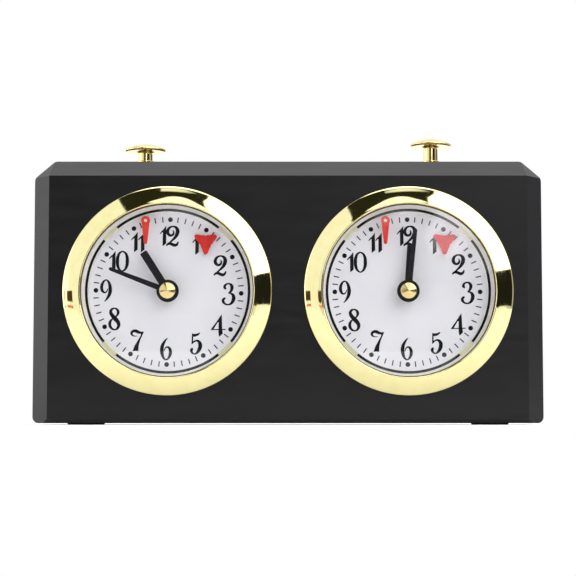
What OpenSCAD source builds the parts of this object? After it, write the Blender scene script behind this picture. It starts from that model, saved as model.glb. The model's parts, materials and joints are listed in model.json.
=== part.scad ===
// Mechanical chess clock: two wind-up movements in one case, linked by a rocker under two push buttons.
// +X is to the right seen from the front, the dials face -Y and +Z is up. Millimetres.
// Depths called w run backwards from the case's front face.
// Angles on a dial run anticlockwise from 3 o'clock.

/* [Case] */
// Width of the case
case_w = 200; // [196:1:206]
// Height of the case without its feet
case_h = 103.2; // [102:0.1:106]
// Depth of the case from front face to back cover
case_d = 52; // [52:1:60]
// Wall thickness
wall = 3; // [2.6:0.1:3.2]
// Chamfer along the top and the sides of the front face
chamfer = 6.5; // [6:0.1:7]
// Chamfer under the front face
sill = 1.7; // [1.2:0.1:2]
// How far the feet stand out below the case
foot_h = 0.6; // [0.5:0.1:2]
// Distance of each foot from the middle
foot_x = 81; // [80:1:86]

/* [Dials] */
// Distance of each dial from the middle
dial_x = 47; // [46.8:0.1:48]
// Height of the dial centres above the table
dial_z = 52.1; // [51:0.1:53]
// Radius of each dial
dial_r = 36.5; // [36.2:0.1:36.8]
// Outer radius of each bezel
bezel_r = 40.9; // [40.5:0.1:42]
// Radius of each bezel's opening
bezel_in_r = 33.7; // [33.5:0.1:33.8]
// How far each bezel stands out of the front face
bezel_h = 4.35; // [4.2:0.05:4.5]

/* [Hands] */
// Length of the minute hands
minute_len = 24.6; // [23:0.1:25]
// Length of the hour hands
hour_len = 18.2; // [16:0.1:19]
// Left minute hand, degrees clockwise from 12
left_minute_at = 291; // [0:0.1:360]
// Left hour hand, degrees clockwise from 12
left_hour_at = 327.5; // [0:0.1:360]
// Right minute hand, degrees clockwise from 12
right_minute_at = 7; // [0:0.1:360]
// Right hour hand, degrees clockwise from 12
right_hour_at = 4; // [0:0.1:360]
// Distance of the flag's pin from the middle of the dial
track_r = 29.1; // [28.8:0.1:29.2]
// Length of the flag below its pin
flag_len = 9.3; // [8.5:0.1:9.5]
// Radius to the tip of the indicator's lobes
lobe_r = 5.05; // [4.5:0.05:5.1]

/* [Buttons] */
// Distance of each button from the middle
button_x = 58; // [56:1:60]
// Diameter of the button caps
cap_d = 16.9; // [14:0.1:17]
// Diameter of the button stems
stem_d = 5.75; // [5.5:0.05:6]
// Height of a raised button above the case
button_up = 12.1; // [12:0.1:14]
// Travel of each button
button_travel = 2.1; // [1.8:0.1:2.3]

/* [Hidden] */
LEFT = -1;
RIGHT = 1;
SIDES = [LEFT, RIGHT];
$fn = 64;

// Clearances
run = 0.06;   // a shaft in its hole, on the radius
fit = 0.1;    // pieces that are set in one another
eps = 0.01;

// Case
case_top = foot_h + case_h;
cut_x = 8;              // the cut across each top corner
cut_z = 6.8;
cut_round = 3;
base_round = 2.5;
cover_t = 2.5;
cover_w = case_d - cover_t;
rebate = 1.5;           // wall left around the back cover
window_r = 37;
key_w = case_d + 13;    // how far back the keys and knobs reach
front_y = bezel_h - (bezel_h + key_w) / 2;
mid_w = case_d / 2;

// Screws and bosses
boss_r = 3.5;
cover_boss_w = 12;
short_boss_w = 38;
corner_bosses = [[-94, 7.2], [94, 7.2], [-93, 96.5], [93, 96.5]];
middle_bosses = [[0, 7.2], [0, 98]];
cover_screw_len = 9.7;
screw_head_r = 2.4;
screw_head_h = 1.3;
screw_r = 1;
post_at = 29.5;         // the four posts that carry each movement
post_r = 3;
mount_screw_r = 0.9;
foot_y_inset = 9;

// Glass and dial
crystal_r = 35.4;
crystal_t = 1;
crystal_seat = 1.2;
crystal_dome = 1.3;
skirt_in_r = 35.5;
skirt_out_r = 36.7;
skirt_w = 5;
dial_w = 6.5;
dial_t = 0.5;
ring_in_r = 33.9;
ring_out_r = 35.3;
ring_step_r = 31.2;     // the step that stands round the dial
ring_step_w = 1.6;

// Hands, from the front: nut, minute hand, flag, hour hand
minute_w = 0.9;
minute_t = 0.6;
flag_w = 1.75;
flag_t = 0.4;
hour_w = 2.4;
hour_t = 0.6;
rotor_w = 4.5;
rotor_t = 0.8;
hand_boss_r = 4.4;
hour_boss_r = 4.2;
nut_r = 3.1;
nut_front_w = -0.3;
nut_tip_w = -1.6;
flag_pin_r = 0.6;
flag_at = 107.6;        // just before the 57-minute mark

// Plates
front_plate_w = 10.8;
plate_t = 1.2;
inner_w = front_plate_w + plate_t;
back_plate_w = 30;
back_w = back_plate_w + plate_t;
plate_half = 32.5;
back_plate_box = [[-27, -31], [29, -31], [29, 31], [-27, 31]];
pillars = [[-24, 27], [25.5, 27.5], [25.5, -27.5], [-24, -28]];
pillar_r = 2;
dial_foot_at = 21.2;
dial_foot_r = 1;

// Gear teeth: [addendum, dedendum] in modules, [root, tip] half widths in pitches
wheel_tooth = [1.1, 1.1, 0.28, 0.06];
leaf_tooth = [0.7, 1.3, 0.24, 0.08];

// Going train: [teeth, module] of each wheel, and the leaves of the pinion that it drives
great = [60, 0.5];
centre = [64, 0.45];
third = [60, 0.4];
fourth = [64, 0.35];
centre_leaves = 10;
leaves = 8;
// Motion work
cannon_leaves = 12;
minute_teeth = [36, 0.5];
minute_leaves = 10;
hour_teeth = [40, 0.48];

// Arbors, seen from the front, from the middle of the dial
C = [0, 0];
E = [14.6, 19.6];       // escape wheel and indicator
G = polar(mesh_r(great, centre_leaves), -126.87);
T = polar(mesh_r(centre, leaves), -22.1);
F = meet(T, mesh_r(third, leaves), E, mesh_r(fourth, leaves));
M = polar(mesh_r(minute_teeth, cannon_leaves), -45);
P = [3.5, 20.5];        // pallet lever
B = [-9.5, 17];         // balance

escape_r = 6.5;
escape_teeth = 15;
pallet_reach = 7.4;     // from the escape arbor to each pallet pin
pallet_spread = 36;
balance_r = 9;
pivot_r = 0.5;
centre_arbor_r = 0.7;
pipe_r = 1.7;
hour_pipe_r = 2.4;
spring_arbor_r = 1.5;

// Buttons and rocker
stem_r = stem_d / 2;
cap_rim = 1;
cap_dome = 2.3;
cap_h = cap_rim + cap_dome;
rocker_z = 90;
beam_h = 4;
beam_t = 4;
rest_tilt = asin(button_travel / 2 / button_x);
pad_gap = 0.06;
stem_tip_r = 1.5;
stop_r = 4.2;
stop_h = 1;
bush_r = 4;
bush_flange_r = 4.8;
bush_flange_h = 0.7;
pin_r = 1.5;
pin_half = 8.5;
cheek_w = [mid_w - 6.5, mid_w + 6.5];
cheek_t = 1.2;
wire_r = 0.5;
brake_gap = 0.1;

function polar(r, a) = [r * cos(a), r * sin(a)];
function unit(v) = v / norm(v);
function bearing(a, b) = atan2(b.y - a.y, b.x - a.x);
// Distance between the arbors of a wheel and the pinion it drives
function mesh_r(wheel, n) = wheel[1] * (wheel[0] + n) / 2;
// The point on the right that is ra from a and rb from b
function meet(a, ra, b, rb) =
    let (d = norm(b - a), k = (d * d + ra * ra - rb * rb) / (2 * d), along = unit(b - a))
    a + along * k + [along.y, -along.x] * sqrt(ra * ra - k * k);
// Turn of a pinion at b that puts its gap over a tooth of an unturned wheel at a
function mesh_turn(a, b, wheel, n) =
    let (t = bearing(a, b)) t + 180 + (t * wheel[0] / 360 - 0.5) * 360 / n;
// Teeth as an outline: the form holds addendum, dedendum, root and tip
function teeth(n, m, form) = [
    for (i = [0 : n - 1]) each [
        for (p = [[-form[2], -form[1]], [-form[3], form[0]], [form[3], form[0]], [form[2], -form[1]]])
            polar(n * m / 2 + p[1] * m, (i + p[0]) * 360 / n)
    ]
];
// An arc in place of the corner p between its neighbours a and b
function fillet(a, p, b, r, steps = 6) =
    let (u = unit(a - p), v = unit(b - p), half = acos(u * v) / 2, c = p + unit(u + v) * r / sin(half),
         start = bearing(c, p + u * r / tan(half)), end = bearing(c, p + v * r / tan(half)),
         sweep = (end - start + 540) % 360 - 180)
    [for (i = [0 : steps]) c + polar(r, start + sweep * i / steps)];
function rounded(points, radii) = let (n = len(points)) [
    for (i = [0 : n - 1]) each fillet(points[(i + n - 1) % n], points[i], points[(i + 1) % n], radii[i])
];
// How much of a cut with legs a and b is left when every face moves in by t
function cut_left(t, a, b) = let (h = norm([a, b])) max(0.2, 1 - t * ((a + b) / h - 1) * h / (a * b));
// A flat ribbon wound from r0 out to r1
function spiral(r0, r1, turns, t, step = 15) = let (n = turns * 360 / step) concat(
    [for (i = [0 : n]) polar(r0 + (r1 - r0) * i / n, i * step)],
    [for (i = [n : -1 : 0]) polar(r0 + (r1 - r0) * i / n + t, i * step)]
);
function clockwise(a) = 90 - a;

// Places children on a side's dial: x right, y up, z towards the viewer, 0 on the front face
module on_dial(side) {
    translate([side * dial_x, front_y, dial_z]) rotate([90, 0, 0]) children();
}

module disc(r, w0, w1) {
    translate([0, 0, -w1]) cylinder(h = w1 - w0, r = r);
}

module slab(w0, w1) {
    translate([0, 0, -w1]) linear_extrude(w1 - w0) children();
}

module at(p) {
    translate([p.x, p.y, 0]) children();
}

module bar(a, b, t) {
    translate(a) rotate(bearing(a, b)) translate([0, -t / 2]) square([norm(b - a), t]);
}

// A spoked wheel's outline
module wheel_2d(wheel, hub, rim, spokes = 4) {
    r = wheel[0] * wheel[1] / 2;
    difference() {
        polygon(teeth(wheel[0], wheel[1], wheel_tooth));
        circle(r - rim);
    }
    circle(hub);
    for (i = [0 : spokes - 1]) rotate(i * 360 / spokes) bar([hub - 0.3, 0], [r - rim + 0.4, 0], 1.6);
}

module pinion(n, m, turn, w0, w1) {
    slab(w0, w1) rotate(turn) polygon(teeth(n, m, leaf_tooth));
}

// A steel arbor with a pivot in each plate
module arbor(r) {
    disc(r, inner_w + 0.2, back_plate_w - 0.2);
    disc(pivot_r, front_plate_w + 0.1, back_w - 0.1);
}

module case_front_2d(t) {
    k = cut_left(t, cut_x, cut_z);
    x = case_w / 2 - t;
    low = foot_h + t;
    high = case_top - t;
    polygon(rounded(
        [[-x, low], [x, low], [x, high - cut_z * k], [x - cut_x * k, high], [cut_x * k - x, high],
         [-x, high - cut_z * k]],
        [base_round, base_round, cut_round, cut_round, cut_round, cut_round]));
}

// The plane that joins the front face's top corner to the cut
module corner_facet(t) {
    k = cut_left(t, cut_x, cut_z);
    c = chamfer * cut_left(t, chamfer, chamfer);
    x = case_w / 2 - t;
    y = front_y + t;
    z = case_top - t;
    a = [x, y + c, z - cut_z * k];
    b = [x - cut_x * k, y + c, z];
    n = unit(cross(b - a, [x - c, y, z - c] - a));
    translate(a) rotate([0, acos(n.z), atan2(n.y, n.x)]) translate([-20, -20, 0]) cube([40, 40, 20]);
}

// The case's outer form, with every face moved in by t and its back at depth back
module case_form(t, back) {
    c = chamfer * cut_left(t, chamfer, chamfer);
    s = sill * cut_left(t, sill, sill);
    x = case_w / 2 - t;
    y0 = front_y + t;
    y1 = front_y + back;
    low = foot_h + t;
    high = case_top - t;
    difference() {
        intersection() {
            translate([0, y1, 0]) rotate([90, 0, 0]) linear_extrude(back - t) case_front_2d(t);
            linear_extrude(case_top + 5)
                polygon([[c - x, y0], [x - c, y0], [x, y0 + c], [x, y1 + 1], [-x, y1 + 1], [-x, y0 + c]]);
            translate([-case_w, 0, 0]) rotate([90, 0, 90]) linear_extrude(2 * case_w)
                polygon([[y0, low + s], [y0 + s, low], [y1 + 1, low], [y1 + 1, high], [y0 + c, high],
                         [y0, high - c]]);
        }
        corner_facet(t);
        mirror([1, 0, 0]) corner_facet(t);
    }
}

module at_depth(w) {
    translate([0, front_y + w, 0]) rotate([90, 0, 0]) children();
}

module cover_bosses() {
    for (p = corner_bosses) at(p) disc(boss_r, cover_boss_w, cover_w);
    for (p = middle_bosses) at(p) disc(boss_r, short_boss_w, cover_w);
}

module square_of(half) {
    for (x = [-half, half]) for (y = [-half, half]) translate([x, y, 0]) children();
}

module feet_places() {
    for (x = [-foot_x, foot_x]) for (y = [foot_y_inset, case_d - foot_y_inset])
        translate([x, front_y + y, 0]) children();
}

module bracket_screw_places() {
    for (x = [-6, 6]) translate([x, front_y + mid_w, 0]) children();
}

module case_shell() color("#26272a") {
    difference() {
        union() {
            difference() {
                case_form(0, case_d);
                case_form(wall, cover_w);
                at_depth(case_d + 1) linear_extrude(cover_t + 1 + eps) case_front_2d(rebate);
            }
            at_depth(0) intersection() {
                cover_bosses();
                translate([0, 0, -cover_w]) linear_extrude(cover_w) case_front_2d(rebate);
            }
            for (side = SIDES) on_dial(side) square_of(post_at) disc(post_r, wall - 0.5, front_plate_w);
        }
        for (side = SIDES) on_dial(side) {
            disc(window_r, -1, wall + 1);
            square_of(post_at) disc(mount_screw_r + fit, 4.5, front_plate_w + 1);
        }
        for (x = [-button_x, button_x]) translate([x, front_y + mid_w, case_top - wall - 1])
            cylinder(h = wall + 2, r = bush_r + fit);
        for (p = concat(corner_bosses, middle_bosses)) at_depth(0) at(p)
            disc(screw_r + fit, cover_w - cover_screw_len - 1, cover_w + 1);
        feet_places() translate([0, 0, foot_h - 1]) cylinder(h = wall + 2, r = 2 + fit);
        bracket_screw_places() translate([0, 0, case_top - wall - 1]) cylinder(h = 3, r = screw_r + fit);
    }
}

module back_cover() color("#2a2b2e") difference() {
    at_depth(case_d) linear_extrude(cover_t) case_front_2d(rebate + fit);
    at_depth(0) for (p = concat(corner_bosses, middle_bosses)) at(p) {
        disc(screw_r + 0.3, cover_w - 1, case_d + 1);
        disc(screw_head_r + 0.2, case_d - screw_head_h, case_d + 1);
    }
    for (side = SIDES) on_dial(side) {
        disc(2.5, cover_w - 1, case_d + 1);
        at(G) disc(2.8, cover_w - 1, case_d + 1);
    }
}

module back_cover_screws() color("#b9b9bd") at_depth(0)
    for (p = concat(corner_bosses, middle_bosses)) at(p) difference() {
        union() {
            disc(screw_head_r, case_d - screw_head_h, case_d - 0.05);
            disc(screw_r, cover_w - cover_screw_len, case_d - screw_head_h + eps);
        }
        translate([-4, -0.35, -case_d]) cube([8, 0.7, 0.7]);
    }

module feet() color("#1b1b1b") feet_places() {
    cylinder(h = foot_h, r = 5.5);
    cylinder(h = foot_h + wall + 0.6, r = 2);
}

module bezel(side) color("#d9b860") on_dial(side) rotate_extrude($fn = 128) polygon([
    [skirt_in_r, -skirt_w], [skirt_out_r, -skirt_w], [skirt_out_r, 0], [bezel_r, 0], [bezel_r, 1],
    [bezel_r - 0.25, 1.55], [bezel_r - 0.9, 1.95], [bezel_r - 2.4, 2.65], [bezel_r - 4.2, 3.5],
    [bezel_r - 5.9, 4.15], [bezel_r - 6.5, bezel_h], [bezel_in_r + 0.2, bezel_h - 0.1],
    [bezel_in_r, bezel_h - 0.5], [bezel_in_r, crystal_seat + crystal_t + fit],
    [skirt_in_r, crystal_seat + crystal_t + fit]
]);

// A domed disc: its edge is flat, and inside that it rises by crystal_dome
module crystals() color("#dfe8ee", 0.35) for (side = SIDES) on_dial(side) rotate_extrude($fn = 128)
    polygon(concat(
        [[0, crystal_seat + crystal_dome]],
        [for (i = [1 : 8]) crystal_point(i / 8, 0)],
        [[crystal_r, crystal_seat], [crystal_r, crystal_seat + crystal_t]],
        [for (i = [8 : -1 : 1]) crystal_point(i / 8, crystal_t)],
        [[0, crystal_seat + crystal_dome + crystal_t]]
    ));

function crystal_point(s, rise) = [
    (bezel_in_r - 0.3) * s,
    crystal_seat + rise + crystal_dome * (1 - s * s)
];

module dial(side) color("#eceeed") on_dial(side) difference() {
    union() {
        disc(dial_r, dial_w, dial_w + dial_t);
        square_of(dial_foot_at) disc(dial_foot_r, dial_w + dial_t - eps, inner_w + 0.5);
    }
    disc(hour_pipe_r + 0.4, dial_w - 1, dial_w + 1);
    at(E) disc(1, dial_w - 1, dial_w + 1);
    at(polar(track_r, flag_at)) disc(flag_pin_r + 0.05, dial_w - 1, dial_w + 1);
}

module dial_rings() color("#f1f1ee") for (side = SIDES) on_dial(side) difference() {
    disc(ring_out_r, -crystal_seat + 0.05, dial_w);
    disc(ring_in_r, -crystal_seat - 1, ring_step_w);
    disc(ring_step_r, ring_step_w - 1, dial_w + 1);
}

module flag_pins() color("#d8d3c2") for (side = SIDES) on_dial(side) at(polar(track_r, flag_at)) {
    disc(flag_pin_r, flag_w - 0.2, dial_w + dial_t + 0.8);
    disc(flag_pin_r + 0.5, flag_w + flag_t + 0.1, dial_w - eps);
}

module button_bushes() color("#c9a64e") for (x = [-button_x, button_x])
    translate([x, front_y + mid_w, case_top]) difference() {
        union() {
            translate([0, 0, -wall]) cylinder(h = wall, r = bush_r);
            cylinder(h = bush_flange_h, r1 = bush_flange_r, r2 = bush_flange_r - 0.4);
        }
        translate([0, 0, -wall - 1]) cylinder(h = wall + bush_flange_h + 2, r = stem_r + run);
    }

module front_plates() color("#c8a860") for (side = SIDES) on_dial(side) {
    difference() {
        slab(front_plate_w, inner_w) polygon(rounded(
            [for (p = [[-1, -1], [1, -1], [1, 1], [-1, 1]]) p * plate_half], [3, 3, 3, 3]));
        plate_hole(C, centre_arbor_r);
        plate_hole(G, pivot_r);
        for (p = [T, F, E, P, B]) plate_hole(p, pivot_r);
        square_of(post_at) disc(mount_screw_r + 0.2, front_plate_w - 1, inner_w + 1);
        square_of(dial_foot_at) disc(dial_foot_r + fit, front_plate_w - 1, inner_w + 1);
    }
    at(M) disc(centre_arbor_r, 7.2, front_plate_w + eps);
}

module plate_hole(p, r) {
    at(p) disc(r + run, front_plate_w - 1, back_w + 1);
}

module back_plates() color("#c8a860") for (side = SIDES) on_dial(side) difference() {
    slab(back_plate_w, back_w) polygon(rounded(back_plate_box, [3, 3, 3, 3]));
    plate_hole(C, centre_arbor_r);
    plate_hole(G, spring_arbor_r);
    for (p = [T, F, E, P, B]) plate_hole(p, pivot_r);
    for (p = pillars) at(p) disc(mount_screw_r + 0.2, back_plate_w - 1, back_w + 1);
}

module plate_pillars() color("#cfcfd2") for (side = SIDES) on_dial(side)
    for (p = pillars) at(p) difference() {
        disc(pillar_r, inner_w, back_plate_w);
        disc(mount_screw_r + fit, back_plate_w - 5, back_plate_w + 1);
    }

// A cheese-head screw driven in from behind, its head on the face at depth w
module rear_screw(w, length) difference() {
    union() {
        disc(1.9, w, w + 1.2);
        disc(mount_screw_r, w - length, w + eps);
    }
    translate([-3, -0.3, -w - 1.2 - eps]) cube([6, 0.6, 0.6]);
}

module movement_screws() color("#8d8f94") {
    for (side = SIDES) on_dial(side) {
        square_of(post_at) rear_screw(inner_w, 6);
        for (p = pillars) at(p) rear_screw(back_w, 5);
    }
    bracket_screw_places() translate([0, 0, case_top - wall - cheek_t - 1.2]) {
        cylinder(h = 1.2, r = 1.9);
        cylinder(h = 4.2, r = screw_r);
    }
}

module mainsprings() color("#6f7884") for (side = SIDES) on_dial(side) at(G)
    slab(20.8, 28.2) polygon(spiral(3.1, 12.1, 6, 0.5));

module hairsprings() color("#5b6f9c") for (side = SIDES) on_dial(side) at(B)
    slab(27.6, 28.2) polygon(spiral(1.4, 6.6, 6, 0.22));

module rocker_bracket() color("#a8abb0") difference() {
    union() {
        translate([-9, front_y + cheek_w[0] - cheek_t, case_top - wall - cheek_t])
            cube([18, cheek_w[1] - cheek_w[0] + 2 * cheek_t, cheek_t]);
        for (w = [cheek_w[0] - cheek_t, cheek_w[1]]) translate([-5, front_y + w, rocker_z - 4])
            cube([10, cheek_t, case_top - wall - rocker_z + 4]);
    }
    translate([0, front_y, rocker_z]) rotate([90, 0, 0])
        disc(pin_r + 0.02, cheek_w[0] - 5, cheek_w[1] + 5);
    bracket_screw_places() translate([0, 0, case_top - wall - 3]) cylinder(h = 4, r = screw_r + fit);
}

module rocker_pin() color("#d5d6d9") translate([0, front_y, rocker_z]) rotate([90, 0, 0])
    disc(pin_r, mid_w - pin_half, mid_w + pin_half);

// The rocker's own frame: level, with its pin at the origin, then leaned over to rest
module on_rocker() {
    translate([0, front_y + mid_w, rocker_z]) rotate([0, -rest_tilt, 0]) children();
}

module rocker() color("#9a9ea6") on_rocker() difference() {
    union() {
        translate([-button_x - 3, -beam_t / 2, -beam_h / 2]) cube([2 * button_x + 6, beam_t, beam_h]);
        rotate([90, 0, 0]) translate([0, 0, -6]) cylinder(h = 12, r = 3.5);
    }
    rotate([90, 0, 0]) translate([0, 0, -10]) cylinder(h = 20, r = pin_r + run);
    for (side = SIDES) translate([brake_x(side), 0, -beam_h]) cylinder(h = beam_h + 0.6, r = wire_r + 0.05);
}

function brake_x(side) = side * dial_x + B.x;

// Where a wire's foot stands above its balance at the low end of its stroke
module brake_wires() color("#c4c6ca") on_rocker() for (side = SIDES) {
    x = brake_x(side);
    foot = dial_z + B.y + balance_r + brake_gap - rocker_z + abs(x) * sin(rest_tilt);
    translate([x, 0, foot]) cylinder(h = 0.5 - foot, r = wire_r);
    translate([x, 0, foot]) cylinder(h = 1.5, r = 1);
}

// A mushroom cap on a stem that reaches down to the rocker
module button(side) color("#cfa94d") {
    top = case_top + button_up - (side == LEFT ? button_travel : 0);
    pad = rocker_z + beam_h / 2 + side * button_travel / 2;
    translate([side * button_x, front_y + mid_w, 0]) {
        translate([0, 0, top - cap_h]) rotate_extrude($fn = 96) polygon(concat(
            [[0, 0], [cap_d / 2 - 0.3, 0], [cap_d / 2, 0.3], [cap_d / 2, cap_rim - 0.2]],
            [for (a = [8 : 10 : 88]) [(cap_d / 2 - 0.1) * cos(a), cap_rim + (cap_dome - 0.01) * sin(a)]],
            [[0, cap_h]]));
        translate([0, 0, pad + 3]) cylinder(h = top - cap_h - pad - 3 + eps, r = stem_r);
        translate([0, 0, pad + pad_gap]) cylinder(h = 3.5, r = stem_tip_r);
        translate([0, 0, case_top - wall - stop_h - 0.05 - (side == LEFT ? button_travel : 0)])
            cylinder(h = stop_h, r = stop_r);
    }
}

module minute_hand_2d() {
    tip = 0.68;
    circle(hand_boss_r);
    polygon([[0, -1.2], [minute_len - tip, -tip], [minute_len - tip, tip], [0, 1.2]]);
    translate([minute_len - tip, 0]) circle(tip);
}

module minute_hand(side) color("#151516") on_dial(side)
    rotate(clockwise(side == LEFT ? left_minute_at : right_minute_at)) difference() {
        slab(minute_w, minute_w + minute_t) minute_hand_2d();
        disc(1.2 + 0.05, minute_w - 1, minute_w + 2);
    }

module hand_nut(side) color("#cdb25c") on_dial(side) difference() {
    union() {
        disc(nut_r, nut_front_w, minute_w);
        translate([0, 0, -nut_front_w - eps])
            cylinder(h = nut_front_w - nut_tip_w, r1 = nut_r, r2 = 0.35);
    }
    disc(0.95, nut_front_w - 0.2, minute_w + 1);
}

module hour_hand(side) color("#151516") on_dial(side)
    rotate(clockwise(side == LEFT ? left_hour_at : right_hour_at)) difference() {
        slab(hour_w, hour_w + hour_t) union() {
            circle(hour_boss_r);
            polygon(rounded([[0, -1.5], [hour_len, -1.5], [hour_len, 1.5], [0, 1.5]],
                [0.2, 0.5, 0.5, 0.2]));
        }
        disc(hour_pipe_r + 0.05, hour_w - 1, hour_w + 2);
    }

module hour_wheel(side) color("#c8a55a") on_dial(side) difference() {
    union() {
        disc(hour_pipe_r, hour_w, 8.6);
        slab(7.9, 8.6) wheel_2d(hour_teeth, 3.4, 1.5);
    }
    disc(pipe_r + 0.08, hour_w - 1, 10);
}

// Arbor and cannon pinion, from the hand nut in front to the setting knob behind
module centre_arbor(side) color("#c3c5c9") on_dial(side) {
    disc(0.9, nut_front_w - 0.1, minute_w + eps);
    disc(1.2, minute_w, minute_w + minute_t + eps);
    disc(pipe_r, minute_w + minute_t, 10.4);
    pinion(cannon_leaves, minute_teeth[1], mesh_turn(M, C, minute_teeth, cannon_leaves), 9.2, 10.4);
    disc(centre_arbor_r, 10.4 - eps, back_w + 0.4);
    disc(1.2, back_w + 0.3, key_w - 3);
}

module minute_wheel(side) color("#c8a55a") on_dial(side) at(M) difference() {
    union() {
        pinion(minute_leaves, hour_teeth[1], mesh_turn(C, M, hour_teeth, minute_leaves), 7.7, 9.4 + eps);
        slab(9.4, 10.1) wheel_2d(minute_teeth, 3, 1.5);
    }
    disc(centre_arbor_r + run, 6, 12);
}

// A fluted knob
module setting_knob(side) color("#cfa94d") on_dial(side) difference() {
    union() {
        slab(case_d + 1.8, key_w - 4) polygon(teeth(24, 11 / 24, [0, 1, 0.32, 0.2]));
        disc(4.6, case_d + 1.2, key_w - 3.2);
    }
    disc(1.25, case_d, key_w - 3 + eps);
}

module flag(side) color("#d83a2c") on_dial(side) at(polar(track_r, flag_at)) difference() {
    slab(flag_w, flag_w + flag_t) union() {
        circle(1.75);
        polygon([[-1.6, 0], [-0.72, 0.72 - flag_len], [0.72, 0.72 - flag_len], [1.6, 0]]);
        translate([0, 0.72 - flag_len]) circle(0.72);
    }
    disc(flag_pin_r + run, flag_w - 1, flag_w + 2);
}

// Three rounded lobes with hollow sides, one lobe hanging down
module tick_rotor(side) color("#d0301f") on_dial(side) at(E) difference() {
    slab(rotor_w, rotor_w + rotor_t) polygon([
        for (a = [0 : 4 : 356]) let (t = 3 * (a + 90))
            polar(lobe_r * (0.666 + 0.23 * cos(t) + 0.07 * cos(2 * t) + 0.034 * cos(3 * t)), a)
    ]);
    disc(pivot_r + 0.05, rotor_w + 0.2, rotor_w + 2);
}

// Two wings on a hub, on the squared end of the mainspring arbor
module winding_key(side) color("#cfa94d") on_dial(side) at(G) rotate(35) difference() {
    union() {
        disc(3.2, case_d + 1.4, case_d + 6);
        translate([0, 0.9, 0]) rotate([90, 0, 0]) linear_extrude(1.8) difference() {
            union() {
                translate([-5.5, -key_w + 4.4]) circle(4.4);
                translate([5.5, -key_w + 4.4]) circle(4.4);
                translate([-5.5, -key_w + 1.6]) square([11, 6.6]);
            }
            translate([-6, -key_w + 4.4]) circle(1.6);
            translate([6, -key_w + 4.4]) circle(1.6);
        }
    }
    disc(spring_arbor_r + 0.05, case_d, case_d + 5.2);
}

module mainspring_arbor(side) color("#b9bcc2") on_dial(side) at(G) {
    disc(pivot_r, front_plate_w + 0.1, inner_w + 0.3);
    disc(spring_arbor_r, inner_w + 0.2, case_d + 5);
    slab(17.2, 18) polygon(ratchet(18, 5, 4.2));
    disc(2.6, 20.8, 28.2);
}

function ratchet(n, tip, root) = [
    for (i = [0 : n - 1]) each [polar(tip, i * 360 / n), polar(root, (i + 0.08) * 360 / n)]
];

module great_wheel(side) color("#c8a55a") on_dial(side) at(G) difference() {
    union() {
        slab(18.3, 19.5) wheel_2d(great, 6.4, 2.2);
        disc(3, 18.3, 20.3);
        // the click
        slab(17.3, 18.3 + eps) union() {
            translate([0, 9.4]) circle(0.9);
            bar([0, 9.4], [5.2, 2.6], 0.9);
        }
        slab(18.3, 19) bar([0, 5.5], [0, 13.5], 2);
    }
    disc(spring_arbor_r + run, 16, 21);
}

module centre_wheel(side) color("#c8a55a") on_dial(side) difference() {
    union() {
        slab(14, 14.8) wheel_2d(centre, 3, 2);
        disc(1.6, 13, 22);
        pinion(centre_leaves, great[1], mesh_turn(G, C, great, centre_leaves), 18, 21);
    }
    disc(centre_arbor_r + run, 12, 23);
}

module third_wheel(side) color("#c8a55a") on_dial(side) at(T) {
    arbor(0.8);
    pinion(leaves, centre[1], mesh_turn(C, T, centre, leaves), 13.4, 15.6);
    slab(16.6, 17.3) wheel_2d(third, 2.2, 1.7);
}

module fourth_wheel(side) color("#c8a55a") on_dial(side) at(F) {
    arbor(0.7);
    pinion(leaves, third[1], mesh_turn(T, F, third, leaves), 15.9, 18);
    slab(19.5, 20.1) wheel_2d(fourth, 2, 1.6);
}

module escape_wheel(side) color("#d0ad60") on_dial(side) at(E) {
    arbor(0.6);
    disc(pivot_r, rotor_w + 0.25, inner_w);
    pinion(leaves, fourth[1], mesh_turn(F, E, fourth, leaves), 18.8, 21);
    slab(23, 23.6) difference() {
        polygon([
            for (i = [0 : escape_teeth - 1]) each [
                polar(escape_r - 1.5, (i - 0.3) * 360 / escape_teeth),
                polar(escape_r, i * 360 / escape_teeth),
                polar(escape_r - 1.5, (i + 0.1) * 360 / escape_teeth)
            ]
        ]);
        for (a = [0 : 90 : 270]) translate(polar(2.7, a + 45)) circle(1.2);
    }
}

function pallet_pin(k) = E + polar(pallet_reach, bearing(E, P) + k * pallet_spread);

module pallet_lever(side) color("#b4b7bc") on_dial(side) {
    tail = P + unit(B - P) * 9.6;
    across = [unit(B - P).y, -unit(B - P).x];
    at(P) arbor(0.6);
    slab(21.8, 22.4) union() {
        translate(P) circle(1.4);
        for (k = [-1, 1]) bar(P, pallet_pin(k), 1);
        for (k = [-1, 1]) translate(pallet_pin(k)) circle(0.6);
        bar(P, tail, 0.9);
        for (k = [-1, 1]) bar(tail + across * k * 0.9, tail + across * k * 0.9 + unit(B - P) * 1.2, 0.5);
        bar(tail - across * 1.15, tail + across * 1.15, 0.6);
    }
    for (k = [-1, 1]) at(pallet_pin(k)) disc(0.25, 22.3, 24.2);
}

module balance_wheel(side) color("#c9a24e") on_dial(side) at(B) {
    arbor(0.6);
    disc(1.5, 21.6, 22.6);
    slab(25.5, 26.5) {
        difference() {
            circle(balance_r);
            circle(balance_r - 1.3);
        }
        circle(1.6);
        for (a = [0, 120, 240]) rotate(a) bar([1.2, 0], [balance_r - 1, 0], 1);
    }
}

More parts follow.
